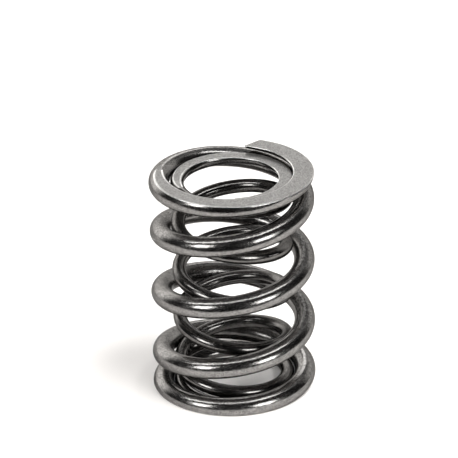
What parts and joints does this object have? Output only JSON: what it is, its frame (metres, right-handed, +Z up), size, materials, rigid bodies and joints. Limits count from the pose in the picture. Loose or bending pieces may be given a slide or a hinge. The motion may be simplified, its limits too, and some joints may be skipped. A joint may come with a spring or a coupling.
{
  "type": "dual valve spring",
  "caption": "Nested pair of helical compression springs for an engine valve, wound in opposite hands, with closed and ground ends.",
  "frame": {"origin": "middle of the lower ground face, on the axis of both springs", "axes": "+Z up along the axis, from the cylinder head to the retainer; the upper tip of the outer spring lies at the back, a little right"},
  "size_m": [0.0394, 0.0394, 0.0554],
  "materials": {
    "outer_steel": "polished and shot-peened spring steel, ends ground",
    "inner_steel": "polished spring steel, ends ground"
  },
  "bodies": {
    "root": {"outer_spring": "outer_steel", "inner_spring": "inner_steel"}
  },
  "joints": []
}
